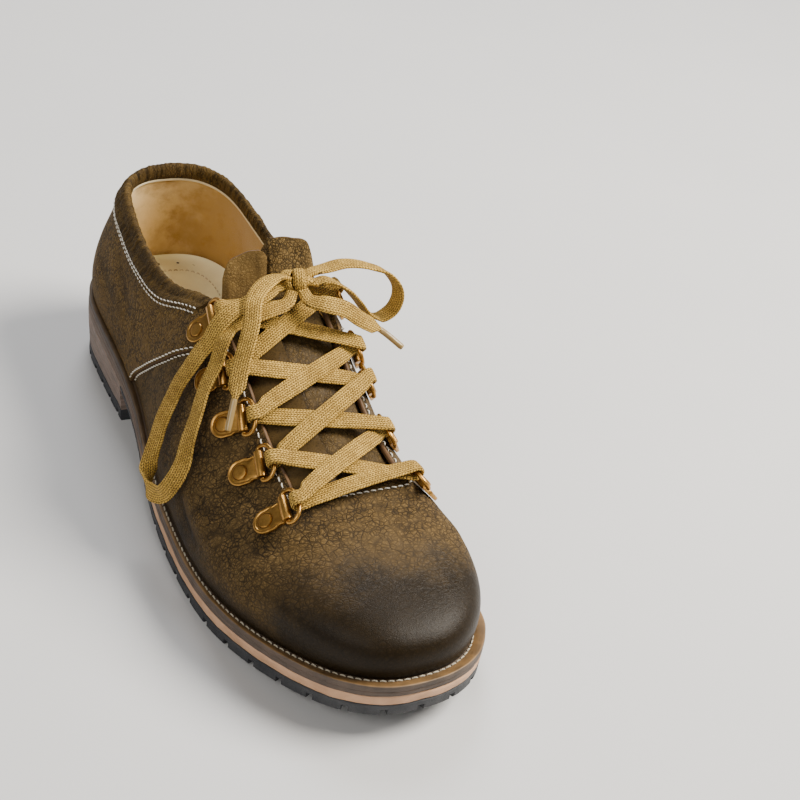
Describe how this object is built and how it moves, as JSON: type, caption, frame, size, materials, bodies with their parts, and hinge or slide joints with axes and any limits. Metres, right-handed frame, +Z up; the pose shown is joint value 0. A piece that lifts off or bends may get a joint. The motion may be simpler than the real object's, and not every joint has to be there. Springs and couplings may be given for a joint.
{
  "type": "haferl shoe",
  "caption": "Low laced leather shoe for the right foot with a wrapped heel quarter, padded collar, stitched welt, stacked heel, lugged rubber sole and D-ring lacing.",
  "frame": {"origin": "on the floor, under the middle of the shoe's box without the loose lace", "axes": "+Y towards the heel, +X towards the inner side of the foot, +Z up"},
  "size_m": [0.1156, 0.3046, 0.1151],
  "materials": {
    "upper_leather": "oiled pebbled grain",
    "band_leather": "soft folded leather",
    "tongue_leather": "soft nap",
    "insole_leather": "satin",
    "welt_leather": "waxed",
    "midsole_leather": "stained edge",
    "tan_leather": "natural edge",
    "stacked_leather": "stained edge",
    "rubber": "matte",
    "brass": "aged brass",
    "lace": "flat weave",
    "aglet": "clear sleeve on lace"
  },
  "bodies": {
    "root": {"aglet_lateral": "aglet", "aglet_medial": "aglet", "collar_band": "band_leather", "d_ring_lateral_1": "brass", "d_ring_lateral_2": "brass", "d_ring_lateral_3": "brass", "d_ring_lateral_4": "brass", "d_ring_lateral_5": "brass", "d_ring_medial_1": "brass", "d_ring_medial_2": "brass", "d_ring_medial_3": "brass", "d_ring_medial_4": "brass", "d_ring_medial_5": "brass", "heel_lift_1": "stacked_leather", "heel_lift_2": "stacked_leather", "heel_lift_3": "stacked_leather", "heel_lift_4": "stacked_leather", "heel_lift_5": "stacked_leather", "heel_top_piece": "rubber", "insole": "insole_leather", "lace_crossings": "lace", "lace_end_lateral": "lace", "lace_end_medial": "lace", "lace_knot": "lace", "lace_loop_lateral": "lace", "lace_loop_medial": "lace", "lacing_plate_lateral_1": "brass", "lacing_plate_lateral_2": "brass", "lacing_plate_lateral_3": "brass", "lacing_plate_lateral_4": "brass", "lacing_plate_lateral_5": "brass", "lacing_plate_medial_1": "brass", "lacing_plate_medial_2": "brass", "lacing_plate_medial_3": "brass", "lacing_plate_medial_4": "brass", "lacing_plate_medial_5": "brass", "midsole": "midsole_leather", "outsole": "rubber", "rear_quarter": "upper_leather", "tan_midsole": "tan_leather", "tongue": "tongue_leather", "upper": "upper_leather", "welt": "welt_leather"}
  },
  "joints": []
}
